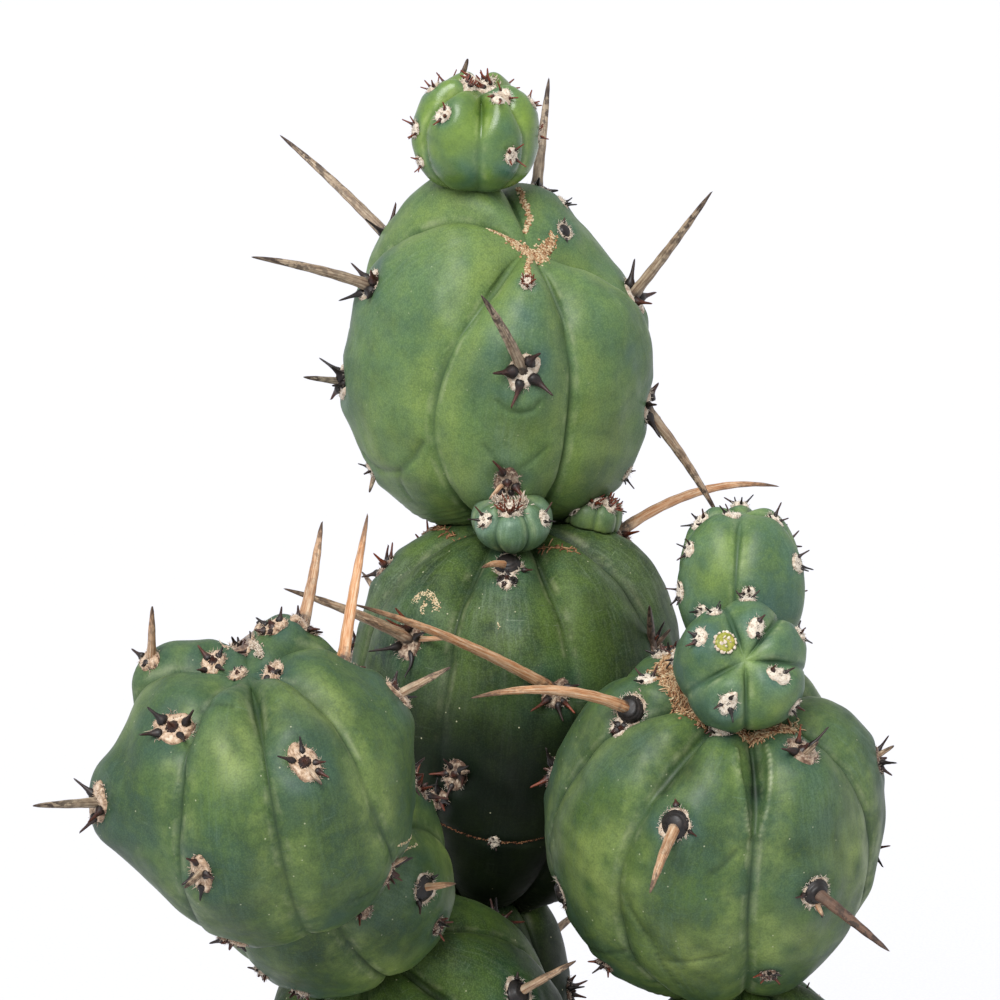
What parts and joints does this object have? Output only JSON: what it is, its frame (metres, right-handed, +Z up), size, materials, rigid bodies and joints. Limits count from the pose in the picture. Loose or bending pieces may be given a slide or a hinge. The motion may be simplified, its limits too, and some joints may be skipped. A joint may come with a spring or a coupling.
{
  "type": "potted tall cactus",
  "caption": "Branching column of swollen, ribbed cactus joints with young offsets and long spines, growing in a filled clay pot with a rolled rim and drain holes",
  "frame": {"origin": "centre of the pot's flat underside", "axes": "+Z up along the plant, -Y towards the plant's front, +X to its right as seen from the front"},
  "size_m": [0.2558, 0.3045, 0.6124],
  "materials": {
    "clay": "unglazed fired clay, dry and finely pitted",
    "soil": "gritty potting mix of dark compost and pale grit",
    "old_skin": "living plant skin, dull and weathered, dark green",
    "skin": "living plant skin, waxy, mid green with a blue bloom",
    "young_skin": "living plant skin, glossy, bright yellow-green",
    "spine": "hard dry spine, tan to grey with a dark tip, on a felted cushion"
  },
  "bodies": {
    "root": {"crown_offset": "young_skin", "crown_offset_spine_1": "spine", "left_branch_lower": "old_skin", "left_branch_lower_spine_1": "spine", "left_branch_lower_spine_2": "spine", "left_branch_lower_spine_3": "spine", "left_branch_middle": "skin", "left_branch_middle_spine_1": "spine", "left_branch_middle_spine_2": "spine", "left_branch_tip": "skin", "left_branch_tip_spine_1": "spine", "left_branch_tip_spine_2": "spine", "left_branch_tip_spine_3": "spine", "left_branch_tip_spine_4": "spine", "left_branch_tip_spine_5": "spine", "left_branch_tip_spine_6": "spine", "left_branch_tip_spine_7": "spine", "pot": "clay", "right_branch_lower": "old_skin", "right_branch_lower_spine_1": "spine", "right_branch_lower_spine_2": "spine", "right_branch_lower_spine_3": "spine", "right_branch_upper": "skin", "right_branch_upper_spine_1": "spine", "right_branch_upper_spine_2": "spine", "right_branch_upper_spine_3": "spine", "right_branch_upper_spine_4": "spine", "right_branch_upper_spine_5": "spine", "right_offset_back": "skin", "right_offset_front": "skin", "shoulder_offset_front": "skin", "shoulder_offset_right": "skin", "soil": "soil", "stem_base": "old_skin", "stem_base_spine_1": "spine", "stem_base_spine_2": "spine", "stem_base_spine_3": "spine", "stem_base_spine_4": "spine", "stem_base_spine_5": "spine", "stem_body": "old_skin", "stem_body_spine_1": "spine", "stem_body_spine_2": "spine", "stem_body_spine_3": "spine", "stem_body_spine_4": "spine", "stem_body_spine_5": "spine", "stem_body_spine_6": "spine", "stem_body_spine_7": "spine", "stem_top": "skin", "stem_top_spine_1": "spine", "stem_top_spine_2": "spine", "stem_top_spine_3": "spine", "stem_top_spine_4": "spine", "stem_top_spine_5": "spine", "stem_top_spine_6": "spine", "stem_top_spine_7": "spine", "stem_top_spine_8": "spine", "stem_top_spine_9": "spine", "stem_waist": "old_skin", "stem_waist_spine_1": "spine", "stem_waist_spine_2": "spine"}
  },
  "joints": []
}
